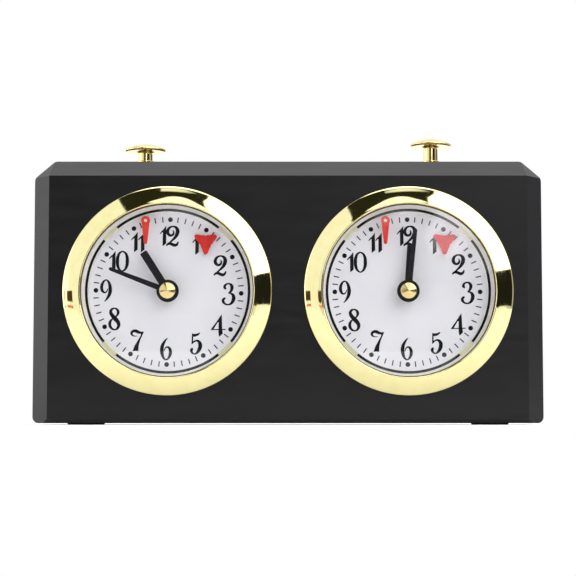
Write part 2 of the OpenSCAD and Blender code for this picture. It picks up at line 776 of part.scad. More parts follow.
case_shell();
back_cover();
back_cover_screws();
feet();
bezel(LEFT);  // left_bezel
bezel(RIGHT);  // right_bezel
crystals();
dial(LEFT);  // left_dial
dial(RIGHT);  // right_dial
dial_rings();
flag_pins();
button_bushes();
front_plates();
back_plates();
plate_pillars();
movement_screws();
mainsprings();
hairsprings();
rocker_bracket();
rocker_pin();
rocker();
brake_wires();
button(LEFT);  // left_button
minute_hand(LEFT);  // left_minute_hand
hand_nut(LEFT);  // left_hand_nut
hour_hand(LEFT);  // left_hour_hand
hour_wheel(LEFT);  // left_hour_wheel
centre_arbor(LEFT);  // left_centre_arbor
minute_wheel(LEFT);  // left_minute_wheel
setting_knob(LEFT);  // left_setting_knob
flag(LEFT);  // left_flag
tick_rotor(LEFT);  // left_tick_rotor
winding_key(LEFT);  // left_winding_key
mainspring_arbor(LEFT);  // left_mainspring_arbor
great_wheel(LEFT);  // left_great_wheel
centre_wheel(LEFT);  // left_centre_wheel
third_wheel(LEFT);  // left_third_wheel
fourth_wheel(LEFT);  // left_fourth_wheel
escape_wheel(LEFT);  // left_escape_wheel
pallet_lever(LEFT);  // left_pallet_lever
balance_wheel(LEFT);  // left_balance_wheel
button(RIGHT);  // right_button
minute_hand(RIGHT);  // right_minute_hand
hand_nut(RIGHT);  // right_hand_nut
hour_hand(RIGHT);  // right_hour_hand
hour_wheel(RIGHT);  // right_hour_wheel
centre_arbor(RIGHT);  // right_centre_arbor
minute_wheel(RIGHT);  // right_minute_wheel
setting_knob(RIGHT);  // right_setting_knob
flag(RIGHT);  // right_flag
tick_rotor(RIGHT);  // right_tick_rotor
winding_key(RIGHT);  // right_winding_key
mainspring_arbor(RIGHT);  // right_mainspring_arbor
great_wheel(RIGHT);  // right_great_wheel
centre_wheel(RIGHT);  // right_centre_wheel
third_wheel(RIGHT);  // right_third_wheel
fourth_wheel(RIGHT);  // right_fourth_wheel
escape_wheel(RIGHT);  // right_escape_wheel
pallet_lever(RIGHT);  // right_pallet_lever
balance_wheel(RIGHT);  // right_balance_wheel
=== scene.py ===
"""A mechanical chess clock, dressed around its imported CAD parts.

The turned pieces that show, such as the bezels, crystals and buttons, are remade here with smooth profiles,
and the dials get their print. The other CAD nodes keep their shape and get a finish of their own, and those
that show from outside get softened edges. Metres, +Z up, the dials face -Y. The pieces are drawn in
millimetres. A dial's own frame has x to the right, y up and z towards the viewer.
"""
import json
import math

import bmesh
import bpy
from mathutils import Matrix, Vector


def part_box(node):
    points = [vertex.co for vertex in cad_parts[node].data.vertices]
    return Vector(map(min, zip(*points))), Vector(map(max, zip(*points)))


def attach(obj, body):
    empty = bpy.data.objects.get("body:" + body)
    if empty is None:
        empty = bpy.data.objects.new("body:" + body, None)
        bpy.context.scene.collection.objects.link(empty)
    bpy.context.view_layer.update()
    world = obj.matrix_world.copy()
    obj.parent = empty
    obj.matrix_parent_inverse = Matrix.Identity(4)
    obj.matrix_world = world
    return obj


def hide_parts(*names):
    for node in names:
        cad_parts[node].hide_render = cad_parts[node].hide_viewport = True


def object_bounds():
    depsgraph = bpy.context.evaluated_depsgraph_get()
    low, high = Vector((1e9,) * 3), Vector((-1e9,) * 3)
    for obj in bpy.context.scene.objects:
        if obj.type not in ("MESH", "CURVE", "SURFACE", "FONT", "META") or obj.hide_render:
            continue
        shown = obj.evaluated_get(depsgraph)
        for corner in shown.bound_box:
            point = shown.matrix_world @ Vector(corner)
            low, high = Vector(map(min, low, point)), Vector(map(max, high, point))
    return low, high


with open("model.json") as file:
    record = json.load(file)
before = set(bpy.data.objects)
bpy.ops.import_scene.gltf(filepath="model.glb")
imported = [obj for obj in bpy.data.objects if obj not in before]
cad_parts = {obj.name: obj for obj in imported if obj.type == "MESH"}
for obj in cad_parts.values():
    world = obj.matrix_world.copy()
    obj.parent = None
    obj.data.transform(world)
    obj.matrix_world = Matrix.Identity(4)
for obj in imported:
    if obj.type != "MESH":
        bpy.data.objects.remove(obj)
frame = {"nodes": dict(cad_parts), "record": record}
cad_low, cad_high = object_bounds()
nodes = frame["nodes"]
slot_of = {part["node"]: part["material_slot"] for part in frame["record"]["subparts"]}

MM = 0.001
SIDES = ("left", "right")
TURN = 2 * math.pi
TO_FRONT = Matrix.Rotation(TURN / 4, 4, "X")
TO_BACK = Matrix.Rotation(TURN / 2, 4, "Z") @ TO_FRONT

# The case's faces, from its CAD box
case_low, case_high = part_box("case_shell")
FRONT_Y = case_low.y
BACK_Y = case_high.y

BEZEL_W = 7.2           # a bezel's width across its face
RING_STEP = 1.6         # depth of the printed step round a dial, behind the case's front
DIAL_LEAN = {"left": 1.2, "right": 0}


def middle(node):
    low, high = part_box(node)
    return (low + high) / 2


def dial_frame(side):
    """The frame of a side's dial, with its origin on the case's front face."""
    centre = middle(side + "_bezel")
    return Matrix.Translation((centre.x, FRONT_Y, centre.z)) @ TO_FRONT


# ---------------------------------------------------------------- materials

def srgb(red, green, blue):
    """A colour picked on the screen, 0 to 255, as the shader wants it."""
    def linear(value):
        value /= 255
        return value / 12.92 if value <= 0.04045 else ((value + 0.055) / 1.055) ** 2.4
    return (linear(red), linear(green), linear(blue), 1)


class Tree:
    """A node tree that is built from the back: each call returns the new node's output."""

    def __init__(self, tree):
        self.tree = tree

    def add(self, kind, inputs=None, **settings):
        made = self.tree.nodes.new("ShaderNode" + kind)
        for name, value in settings.items():
            setattr(made, name, value)
        for label, value in (inputs or {}).items():
            self.feed(made.inputs[label], value)
        return made

    def feed(self, socket, value):
        if isinstance(value, bpy.types.NodeSocket):
            self.tree.links.new(value, socket)
        else:
            socket.default_value = value

    def math(self, operation, *values):
        return self.add("Math", dict(enumerate(values)), operation=operation).outputs[0]

    def map(self, source, start, stop, low=0.0, high=1.0, smooth=False):
        kind = "SMOOTHSTEP" if smooth else "LINEAR"
        inputs = {"Value": source, "From Min": start, "From Max": stop, "To Min": low, "To Max": high}
        return self.add("MapRange", inputs, interpolation_type=kind).outputs["Result"]

    def inside(self, source, low, high, soft):
        """1 where source lies between low and high, fading to 0 over soft on either side."""
        rise = self.map(source, low - soft, low + soft, smooth=True)
        fall = self.map(source, high - soft, high + soft, 1.0, 0.0, smooth=True)
        return self.math("MULTIPLY", rise, fall)

    def blend(self, factor, first, second):
        made = self.add("Mix", {"Factor": factor}, data_type="RGBA")
        self.feed(made.inputs[6], first)
        self.feed(made.inputs[7], second)
        return made.outputs[2]


class Finish(Tree):
    """A procedural material: one Principled shader and the textures that drive it."""

    def __init__(self, name, colour, roughness, **sockets):
        self.material = bpy.data.materials.new(name)
        self.material.use_nodes = True
        super().__init__(self.material.node_tree)
        self.shader = self.tree.nodes["Principled BSDF"]
        self.set("Base Color", colour)
        self.set("Roughness", roughness)
        for label, value in sockets.items():
            self.set(label.replace("_", " "), value)
        self.place = self.add("TexCoord").outputs["Object"]
        self.height = None

    def set(self, label, value):
        self.feed(self.shader.inputs[label], value)

    def noise(self, size, detail=3.0, stretch=(1, 1, 1)):
        """Noise whose features are about size metres across, and longer where stretch is under 1."""
        place = self.add("Mapping", {"Vector": self.place, "Scale": stretch}).outputs[0]
        return self.add("TexNoise", {"Vector": place, "Scale": 1 / size, "Detail": detail}).outputs[0]

    def colour(self, low, high, source, start=0.35, stop=0.65):
        self.set("Base Color", self.blend(self.map(source, start, stop), low, high))

    def rough(self, low, high, source, start=0.35, stop=0.65):
        self.set("Roughness", self.map(source, start, stop, low, high))

    def bump(self, source, depth, strength=1.0):
        """Relief of about depth metres on top of any relief that is there already."""
        inputs = {"Height": source, "Distance": depth, "Strength": strength}
        if self.height is not None:
            inputs["Normal"] = self.height
        self.height = self.add("Bump", inputs).outputs[0]
        self.set("Normal", self.height)


def moulded(name, colour, light, roughness, grain):
    """Satin moulded plastic: a fine spark-eroded grain, long flow marks and a little handling shine."""
    f = Finish(name, colour, roughness, IOR=1.42)
    f.colour(colour, light, f.noise(0.008, 5, (0.1, 1, 1)))
    f.rough(roughness - 0.02, roughness + 0.03, f.noise(0.003, 5, (0.15, 1, 1)))
    f.bump(f.noise(0.00022, 2), grain)
    f.bump(f.noise(0.0012, 3, (0.02, 1, 1)), grain * 0.6, 0.5)
    return f.material


def polished(name, colour, deep, roughness, wave):
    """Plated metal: clear reflections, a faint swell from polishing and fine hairlines."""
    f = Finish(name, colour, roughness, Metallic=1.0)
    f.colour(deep, colour, f.noise(0.004, 4), 0.25, 0.6)
    f.rough(roughness * 0.6, roughness * 1.8, f.noise(0.0009, 5, (1, 1, 0.15)))
    f.bump(f.noise(0.006, 2), wave)
    return f.material


def brushed(name, colour, deep, roughness, stretch):
    """Bare metal with a drawn grain."""
    f = Finish(name, colour, roughness, Metallic=1.0)
    grain = f.noise(0.0004, 4, stretch)
    f.colour(deep, colour, grain)
    f.rough(roughness * 0.7, roughness * 1.3, grain)
    f.bump(grain, 0.000006)
    return f.material


def lacquer(name, colour, light, roughness, coat=0.0, shine=0.5):
    """Paint: soft mottle below, a gloss with slight orange peel above."""
    f = Finish(name, colour, roughness, Coat_Weight=coat, Coat_Roughness=0.08, Specular_IOR_Level=shine)
    f.colour(colour, light, f.noise(0.0025, 4))
    f.rough(roughness * 0.8, roughness * 1.2, f.noise(0.0012, 3))
    f.bump(f.noise(0.0005, 2), 0.000004)
    return f.material


def rubber(name, colour, light):
    f = Finish(name, colour, 0.8)
    f.colour(colour, light, f.noise(0.002, 5))
    f.bump(f.noise(0.00035, 3), 0.00003)
    return f.material


def dial_paint(name):
    """White satin enamel on a metal dial: almost flat, with a very fine tooth."""
    f = Finish(name, srgb(242, 239, 246), 0.38)
    f.colour(srgb(238, 236, 243), srgb(244, 242, 248), f.noise(0.02, 4))
    f.rough(0.32, 0.45, f.noise(0.003, 4))
    f.bump(f.noise(0.00018, 2), 0.000003)
    return f.material


def clear(name):
    """Thin clear acrylic: what is behind shows through, with a mirror image where the view is shallow."""
    f = Finish(name, (1, 1, 1, 1), 0.02)
    smudge = f.map(f.noise(0.008, 4), 0.45, 0.7, 0.015, 0.05)
    see = f.add("BsdfTransparent", {"Color": (0.985, 0.99, 0.992, 1)}).outputs[0]
    gloss = f.add("BsdfGlossy", {"Roughness": smudge}).outputs[0]
    outside = f.math("SUBTRACT", 1.0, f.add("NewGeometry").outputs["Backfacing"])
    share = f.math("MULTIPLY", f.add("Fresnel", {"IOR": 1.7}).outputs[0], outside)
    mixed = f.add("MixShader", {0: share, 1: see, 2: gloss}).outputs[0]
    f.feed(f.tree.nodes["Material Output"].inputs["Surface"], mixed)
    f.tree.nodes.remove(f.shader)
    return f.material


GOLD = (0.91, 0.835, 0.44, 1)
FINISHES = {
    "case_plastic": moulded("case_plastic", srgb(9, 9, 11), srgb(13, 13, 15), 0.31, 0.000005),
    "cover_plastic": moulded("cover_plastic", srgb(22, 22, 24), srgb(29, 29, 31), 0.52, 0.000016),
    "screw_steel": polished("screw_steel", (0.78, 0.78, 0.79, 1), (0.66, 0.66, 0.68, 1), 0.16, 0.000004),
    "foot_rubber": rubber("foot_rubber", srgb(20, 20, 21), srgb(34, 34, 35)),
    "bezel_gold": polished("bezel_gold", GOLD, (0.88, 0.79, 0.38, 1), 0.035, 0.0000012),
    "crystal_clear": clear("crystal_clear"),
    "dial_white": dial_paint("dial_white"),
    "ring_white": lacquer("ring_white", srgb(238, 234, 228), srgb(246, 243, 238), 0.35, coat=0.2),
    # the flag pins' slot is metal; their pale cream paint is a painted highlight standing in for the glint of
    # a polished pin head
    "pin_metal": lacquer("pin_metal", srgb(250, 226, 205), srgb(255, 238, 220), 0.3, coat=0.3),
    "hand_black": lacquer("hand_black", srgb(11, 11, 12), srgb(17, 17, 18), 0.4, shine=0.25),
    "nut_brass": polished("nut_brass", (0.9, 0.72, 0.34, 1), (0.8, 0.6, 0.25, 1), 0.1, 0.000002),
    "flag_red": lacquer("flag_red", srgb(222, 50, 42), srgb(232, 66, 54), 0.4, shine=0.3),
    "rotor_red": lacquer("rotor_red", srgb(206, 36, 28), srgb(220, 48, 38), 0.4, shine=0.3),
    "button_gold": polished("button_gold", (0.9, 0.74, 0.34, 1), (0.78, 0.6, 0.24, 1), 0.06, 0.000003),
    "plate_brass": brushed("plate_brass", (0.76, 0.62, 0.34, 1), (0.62, 0.48, 0.24, 1), 0.3, (0.04, 1, 1)),
    "wheel_brass": brushed("wheel_brass", (0.8, 0.65, 0.34, 1), (0.68, 0.53, 0.26, 1), 0.22, (1, 0.1, 1)),
    "arbor_steel": brushed("arbor_steel", (0.68, 0.69, 0.71, 1), (0.52, 0.53, 0.56, 1), 0.2, (1, 0.1, 1)),
    "spring_steel": brushed("spring_steel", (0.3, 0.36, 0.52, 1), (0.16, 0.2, 0.34, 1), 0.25, (1, 1, 0.1)),
}
PRINT_BLACK = lacquer("print_black", srgb(9, 9, 10), srgb(20, 20, 22), 0.6, shine=0.12)
PRINT_CREAM = lacquer("print_cream", srgb(222, 216, 176), srgb(230, 224, 190), 0.45)
PRINT_GREY = lacquer("print_grey", srgb(176, 176, 172), srgb(198, 198, 194), 0.5)
# dark brown of the ring at each bezel's lip: painted shade for the gap between bezel and crystal
PAINTED_GAP_SHADE = rubber("gap_shade_paint", srgb(70, 54, 28), srgb(88, 70, 38))


# ---------------------------------------------------------------- mesh tools

def arc(centre, radius, start, stop, steps):
    """Points on an arc, angles in degrees."""
    for i in range(steps + 1):
        a = math.radians(start + (stop - start) * i / steps)
        yield (centre[0] + radius * math.cos(a), centre[1] + radius * math.sin(a))


def rounded(points, radii, steps=5):
    """A closed outline with each corner replaced by an arc of its radius."""
    made = []
    for i, corner in enumerate(points):
        p = Vector(corner)
        u = (Vector(points[i - 1]) - p).normalized()
        v = (Vector(points[(i + 1) % len(points)]) - p).normalized()
        half = math.acos(max(-1, min(1, u.dot(v)))) / 2
        if radii[i] <= 0 or half > 1.55:
            made.append(tuple(p))
            continue
        centre = p + (u + v).normalized() * radii[i] / math.sin(half)
        start = p + u * radii[i] / math.tan(half) - centre
        stop = p + v * radii[i] / math.tan(half) - centre
        a = math.atan2(start.y, start.x)
        sweep = (math.atan2(stop.y, stop.x) - a + 3 * math.pi) % TURN - math.pi
        made += [
            (centre.x + radii[i] * math.cos(a + sweep * k / steps),
             centre.y + radii[i] * math.sin(a + sweep * k / steps))
            for k in range(steps + 1)
        ]
    return made


def through(points, steps=5):
    """A smooth curve through points of any dimension, with its ends kept."""
    rows = [points[0], *points, points[-1]]
    made = []
    for a, b, c, d in zip(rows, rows[1:], rows[2:], rows[3:]):
        for i in range(steps):
            t = i / steps
            made.append(tuple(
                0.5 * (2 * q + (r - p) * t + (2 * p - 5 * q + 4 * r - s) * t * t
                       + (3 * q - p - 3 * r + s) * t ** 3)
                for p, q, r, s in zip(a, b, c, d)))
    return [*made, tuple(points[-1])]


class Shape:
    """A mesh in the making, in millimetres in a frame of its own."""

    def __init__(self):
        self.points = []
        self.faces = []
        self.paint = []

    def face(self, corners, paint=0):
        self.faces.append(tuple(corners))
        self.paint.append(paint)

    def ring(self, points):
        start = len(self.points)
        self.points += points
        return range(start, start + len(points))

    def turned(self, profile, steps, closed=True):
        """A profile of (radius, height) points turned about z. Left open, it starts and ends on the axis."""
        rings = []
        for i in range(steps):
            a = TURN * i / steps
            rings.append(self.ring([(r * math.cos(a), r * math.sin(a), h) for r, h in profile]))
        count = len(profile)
        for i in range(steps):
            one, two = rings[i], rings[(i + 1) % steps]
            for k in range(count if closed else count - 1):
                n = (k + 1) % count
                self.face((one[k], two[k], two[n], one[n]))
        return self

    def solid(self, outline, low, high):
        """An outline, anticlockwise, with thickness from z low to high."""
        bottom = self.ring([(x, y, low) for x, y in outline])
        top = self.ring([(x, y, high) for x, y in outline])
        count = len(outline)
        self.face(top)
        self.face(reversed(bottom))
        for i in range(count):
            n = (i + 1) % count
            self.face((bottom[i], bottom[n], top[n], top[i]))
        return self

    def strip(self, left, right, low, high, paint=0):
        """A flat ribbon between two lines of points, with thickness."""
        rows = [
            self.ring([(*a, high), (*b, high), (*b, low), (*a, low)]) for a, b in zip(left, right)
        ]
        for one, two in zip(rows, rows[1:]):
            for k in range(4):
                n = (k + 1) % 4
                self.face((one[k], one[n], two[n], two[k]), paint)
        self.face(reversed(rows[0]), paint)
        self.face(rows[-1], paint)
        return self

    def build(self, name, matrix, body, slot, materials=None, sharp=30):
        """The piece as an object that rides on a body."""
        mesh = bpy.data.meshes.new(name)
        mesh.from_pydata([Vector(p) * MM for p in self.points], [], self.faces)
        for material in materials or [FINISHES[slot]]:
            mesh.materials.append(material)
        mesh.polygons.foreach_set("material_index", self.paint)
        work = bmesh.new()
        work.from_mesh(mesh)
        bmesh.ops.remove_doubles(work, verts=work.verts, dist=1e-7)
        bmesh.ops.recalc_face_normals(work, faces=work.faces)
        work.to_mesh(mesh)
        work.free()
        mesh.transform(matrix)
        mesh.shade_smooth()
        mesh.set_sharp_from_angle(angle=math.radians(sharp))
        piece = bpy.data.objects.new(name, mesh)
        bpy.context.scene.collection.objects.link(piece)
        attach(piece, body)
        return piece


def soften(node, width):
    """Takes the sharpness off a CAD node's edges. Its flat faces are merged first, so none is bevelled."""
    piece = nodes[node]
    weld = piece.modifiers.new("weld", "WELD")
    weld.merge_threshold = 1e-6
    flat = piece.modifiers.new("flat", "DECIMATE")
    flat.decimate_type = "DISSOLVE"
    flat.angle_limit = math.radians(0.5)
    bevel = piece.modifiers.new("bevel", "BEVEL")
    bevel.width = width * MM
    bevel.segments = 2
    bevel.limit_method = "ANGLE"
    bevel.angle_limit = math.radians(25)
    bevel.miter_outer = "MITER_ARC"
    normals = piece.modifiers.new("normals", "WEIGHTED_NORMAL")
    normals.keep_sharp = True


# ---------------------------------------------------------------- bezels and crystals

def make_bezel(side):
    """A pressed ring: a crowned face between a rolled lip and a rolled outer edge, with a skirt behind."""
    node = side + "_bezel"
    low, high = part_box(node)
    outer = (high.x - low.x) / 2 / MM
    rise = (FRONT_Y - low.y) / MM
    skirt = (high.y - FRONT_Y) / MM
    inner = outer - BEZEL_W
    crown = through([
        (outer, 0.9), (outer - 0.12, 1.32), (outer - 0.55, 1.72), (outer - 1.3, 2.12), (outer - 2.6, 2.78),
        (outer - 4.0, 3.4), (outer - 5.4, 3.93), (outer - 6.3, 4.2), (inner + 0.42, rise - 0.02),
        (inner + 0.16, rise - 0.12), (inner + 0.02, rise - 0.4), (inner, rise - 0.8),
    ])
    profile = [
        *crown, (inner, 2.3), (inner + 1.5, 2.3), (inner + 1.5, -skirt), (inner + 2.7, -skirt),
        (inner + 2.7, 0), (outer - 0.15, 0), (outer, 0.15),
    ]
    shape = Shape().turned(profile, 240)
    piece = shape.build(side + "_bezel_ring", dial_frame(side), "case", "bezel_gold")
    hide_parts(node)


def make_painted_gap_shade(side):
    """A thin dark brown ring between a bezel's lip and its crystal: painted shade for the dark gap there."""
    low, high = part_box(side + "_bezel")
    lip = (high.x - low.x) / 2 / MM - BEZEL_W
    profile = rounded([(lip - 0.42, 2.21), (lip + 0.1, 2.21), (lip + 0.1, 2.7), (lip - 0.12, 2.62)],
                      [0.05, 0, 0, 0.12])
    shape = Shape().turned(profile, 160)
    shape.build(side + "_crystal_gap_shade", dial_frame(side), "case", "foot_rubber", [PAINTED_GAP_SHADE])


def make_crystal(side):
    """A domed window with a flat rim that sits in the bezel."""
    rim = (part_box("crystals")[1].x - middle("right_bezel").x) / MM
    seat, thick, dome, flat = 1.2, 1.0, 1.3, 33.4

    def over(height):
        steps = 14
        return [(flat * i / steps, height + dome * (1 - (i / steps) ** 2)) for i in range(steps + 1)]

    profile = [*over(seat + thick), (rim - 0.15, seat + thick), (rim, seat + thick - 0.15),
               (rim, seat + 0.15), (rim - 0.15, seat), *reversed(over(seat))]
    shape = Shape().turned(profile, 160, closed=False)
    piece = shape.build(side + "_crystal", dial_frame(side), "case", "crystal_clear")
    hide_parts("crystals")


# ---------------------------------------------------------------- dial print

# Numerals are drawn as pen strokes, (x, y, width), and as cut shapes, (x, y), in millimetres from
# each figure's middle.
ONE = [(1.17, 3.98), (0.72, 3.3), (0.1, 2.5), (-0.7, 1.75), (-1.28, 0.95), (-1.2, 0.72), (-0.45, 1.45),
       (-0.08, 1.6), (-0.05, -4.0), (0.5, -3.55), (1.26, -2.86)]
FIGURES = {
    "0": {"strokes": [[
        (0, 3.95, 0.4), (1.25, 3.1, 0.75), (1.85, 1.5, 1.08), (1.95, 0, 1.18), (1.85, -1.5, 1.08),
        (1.25, -3.1, 0.75), (0, -3.95, 0.4), (-1.25, -3.1, 0.75), (-1.85, -1.5, 1.08), (-1.95, 0, 1.18),
        (-1.85, 1.5, 1.08), (-1.25, 3.1, 0.75), (0, 3.95, 0.4)]]},
    "1": {"cuts": [ONE]},
    "2": {"strokes": [
        [(0.05, 2.35, 0.18), (0.38, 1.6, 0.5), (0.2, 0.75, 0.75), (-0.55, 0.25, 0.8), (-1.45, 0.5, 0.95),
         (-2.02, 1.5, 1.15), (-1.75, 2.75, 0.95), (-0.9, 3.6, 0.6), (0.2, 3.85, 0.5), (1.3, 3.4, 0.95),
         (1.92, 2.2, 1.35), (1.65, 0.7, 1.3), (0.75, -0.75, 0.9), (-0.6, -2.1, 0.55), (-2.3, -3.75, 0.35)],
        [(-2.45, -3.85, 0.3), (-1.75, -3.15, 0.75), (-0.85, -2.95, 1.0), (0.1, -3.35, 1.05),
         (0.95, -3.6, 1.05), (1.7, -3.3, 0.85), (2.1, -2.6, 0.5), (2.25, -2.05, 0.2)]]},
    "3": {"strokes": [
        [(-1.05, 2.0, 0.4), (-1.6, 2.45, 0.9), (-1.6, 3.2, 0.85), (-1.05, 3.85, 0.6), (-0.1, 4.12, 0.45),
         (0.8, 3.75, 0.85), (1.25, 2.8, 1.15), (1.05, 1.6, 0.95), (0.45, 0.75, 0.55), (-0.1, 0.4, 0.3)],
        [(-0.1, 0.38, 0.3), (0.85, 0.3, 0.5), (1.65, -0.3, 1.0), (2.0, -1.4, 1.3), (1.7, -2.75, 1.15),
         (0.95, -3.75, 0.75), (-0.05, -4.15, 0.45), (-1.2, -3.95, 0.6), (-2.05, -3.1, 0.9),
         (-2.1, -2.3, 0.95), (-1.6, -1.75, 0.7), (-1.2, -1.5, 0.35)]]},
    "4": {"cuts": [
        [(1.28, 4.33), (1.15, 4.2), (-0.6, 1.5), (-2.95, -1.8), (-1.85, -1.46), (-0.25, 1.3), (0.23, 1.35),
         (0.23, -2.7), (0.45, -4.34), (1.1, -3.8), (1.78, -3.1), (1.52, -1.1), (1.38, 1.9)],
        [(-2.95, -1.82), (2.75, -1.62), (2.95, -1.3), (-1.9, -1.5)]]},
    "5": {"strokes": [
        [(-1.5, -0.05, 0.3), (-0.75, 0.75, 0.42), (0.25, 1.15, 0.6), (1.15, 0.7, 1.0), (1.65, -0.3, 1.35),
         (1.6, -1.6, 1.35), (1.0, -2.95, 1.1), (0.2, -3.85, 0.65), (-0.6, -4.1, 0.42), (-1.35, -3.7, 0.65),
         (-1.75, -2.9, 0.95), (-1.5, -2.2, 0.85), (-1.15, -1.95, 0.4)]],
        "cuts": [
            [(-1.62, 3.85), (-1.4, 3.85), (-1.22, 2.8), (-1.22, 0.6), (-1.5, -0.25), (-1.7, -0.25)],
            [(-1.62, 3.85), (-1.3, 2.85), (-0.65, 2.68), (0.4, 3.02), (1.0, 3.45), (1.42, 4.0),
             (1.3, 4.36), (0.9, 4.05), (0.23, 3.8), (-0.82, 3.66)]]},
    "6": {"strokes": [
        [(0.6, 4.3, 0.12), (0.0, 3.75, 0.42), (-0.7, 2.75, 0.8), (-1.35, 1.4, 1.15), (-1.6, -0.2, 1.3),
         (-1.45, -1.8, 1.15), (-1.0, -3.2, 0.8), (-0.35, -4.0, 0.5), (0.3, -4.15, 0.42), (1.05, -3.6, 0.65),
         (1.65, -2.4, 0.98), (1.82, -1.1, 1.08), (1.5, 0.1, 0.92), (0.85, 0.75, 0.6), (0.2, 0.7, 0.42),
         (-0.35, 0.15, 0.3), (-0.7, -0.9, 0.12)]]},
    "7": {"strokes": [
        [(0.1, 1.72, 0.14), (-0.9, 1.66, 0.2), (-1.75, 1.95, 0.5), (-2.2, 2.6, 0.8), (-1.95, 3.3, 0.9),
         (-1.2, 3.72, 0.95), (-0.3, 3.6, 1.15), (0.55, 3.2, 1.0), (1.3, 3.05, 0.7), (2.0, 3.2, 0.55)]],
        "cuts": [
            [(2.66, 3.48), (2.1, 3.4), (1.55, 2.75), (1.5, 1.95), (0.52, 0.16), (-0.75, -2.1), (-1.52, -4.24),
             (-1.0, -4.1), (-0.4, -4.05), (0.15, -4.1), (0.63, -4.2), (0.62, -2.8), (0.76, -1.64),
             (1.22, 0.16), (1.95, 1.96)]]},
    "8": {"strokes": [[
        (-0.25, 4.2, 0.42), (-1.05, 3.85, 0.75), (-1.55, 2.95, 1.05), (-1.3, 1.9, 1.25), (-0.4, 0.8, 1.45),
        (0.6, -0.25, 1.55), (1.5, -1.4, 1.35), (1.72, -2.6, 1.1), (1.2, -3.75, 0.75), (0.25, -4.22, 0.45),
        (-0.9, -3.85, 0.72), (-1.7, -2.75, 1.0), (-1.75, -1.5, 0.98), (-1.15, -0.35, 0.62),
        (-0.1, 0.45, 0.4), (0.75, 1.15, 0.5), (1.3, 2.1, 0.85), (1.3, 3.1, 0.95), (0.65, 3.95, 0.6),
        (-0.25, 4.2, 0.42)]]},
}
NUMERALS = [
    ("12", -0.25, 22.05), ("1", 10.2, 18.85), ("2", 20.1, 10.75), ("3", 23.68, -0.4), ("4", 19.85, -12.85),
    ("5", 11.3, -20.1), ("6", -0.45, -22.5), ("7", -11.9, -19.35), ("8", -20.95, -11.1), ("9", -24.55, 0),
    ("10", -19.95, 11.75), ("11", -12.6, 19.4),
]
# Where each figure of a pair stands, from the pair's middle
PAIRS = {"10": (-2.5, 1.45), "11": (-1.35, 1.35), "12": (-2.5, 1.3)}
PRINT_LOW, PRINT_HIGH = -0.02, 0.03
MINUTE_R = 28.57
BOLD = 0.15             # ink spread, added to every stroke's width


def grow(outline, by):
    """An outline moved outwards."""
    points = [Vector(p) for p in outline]
    turned = 1 if sum(a.cross(b) for a, b in zip(points, points[1:] + points[:1])) > 0 else -1
    made = []
    for before, p, after in zip(points[-1:] + points, points, points[1:] + points[:1]):
        along = (p - before).normalized() + (after - p).normalized()
        made.append(tuple(p + Vector((along.y, -along.x)).normalized() * by * turned))
    return made


def draw_figure(shape, figure, x, y):
    """One figure of the dial. Nine is six upside down."""
    turn = 1
    if figure == "9":
        figure, turn = "6", -1
    drawn = FIGURES[figure]
    for stroke in drawn.get("strokes", []):
        line = through(stroke)
        left, right = [], []
        for i, (px, py, width) in enumerate(line):
            before = line[max(i - 1, 0)]
            after = line[min(i + 1, len(line) - 1)]
            along = Vector((after[0] - before[0], after[1] - before[1])).normalized()
            for side, edge in ((1, left), (-1, right)):
                reach = side * (width + BOLD) / 2
                edge.append((x + turn * (px - along.y * reach), y + turn * (py + along.x * reach)))
        shape.strip(left, right, PRINT_LOW, PRINT_HIGH)
    for cut in drawn.get("cuts", []):
        shape.solid([(x + turn * px, y + turn * py) for px, py in grow(cut, BOLD / 2)], PRINT_LOW, PRINT_HIGH)


def sector(shape, inner, outer, start, stop, paint, steps=40):
    """A band of the ring between two radii, angles in degrees."""
    lines = [list(arc((0, 0), radius, start, stop, steps)) for radius in (outer, inner)]
    shape.strip(*lines, PRINT_LOW, PRINT_HIGH, paint)


def make_print(side):
    """The figures and minute track of a dial, turned clockwise by its lean in degrees."""
    shape = Shape()
    dot_r, half_long, half_wide = 0.93, 1.08, 0.22
    tick = [(u * half_long, v * half_wide) for u, v in ((-1, -1), (1, -1), (1, 1), (-1, 1))]
    for text, x, y in NUMERALS:
        for figure, shift in zip(text, PAIRS.get(text, (0,))):
            draw_figure(shape, figure, x + shift, y)
    for minute in range(60):
        a = math.radians(6 * minute)
        along = Vector((math.cos(a), math.sin(a)))
        across = Vector((-along.y, along.x))
        if minute % 5 == 0:
            shape.solid(list(arc(along * MINUTE_R, dot_r, 0, 345, 23)), PRINT_LOW, PRINT_HIGH)
        else:
            corners = [tuple(along * (MINUTE_R + u) + across * v) for u, v in tick]
            shape.solid(corners, PRINT_LOW, PRINT_HIGH)
    dial_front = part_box(side + "_dial")[0].y
    place = Matrix.Translation((0, dial_front - FRONT_Y, 0)) @ dial_frame(side)
    place = place @ Matrix.Rotation(-math.radians(DIAL_LEAN[side]), 4, "Z")
    shape.build(side + "_dial_print", place, "case", "dial_white", [PRINT_BLACK])


def make_ring_print(side):
    """Black arcs with cream gaps, on the step of the ring round a dial."""
    shape = Shape()
    inner, black_r, cream_r, half_gap = 31.27, 32.3, 32.75, 6.3
    for gap in (45, 135, 225, 315):
        sector(shape, inner, black_r, gap + half_gap, gap + 90 - half_gap, 0)
        sector(shape, inner, cream_r, gap - half_gap, gap + half_gap, 1, 10)
    place = Matrix.Translation((0, RING_STEP * MM, 0)) @ dial_frame(side)
    shape.build(side + "_ring_print", place, "case", "ring_white", [PRINT_BLACK, PRINT_CREAM])


# ---------------------------------------------------------------- buttons, nuts and feet

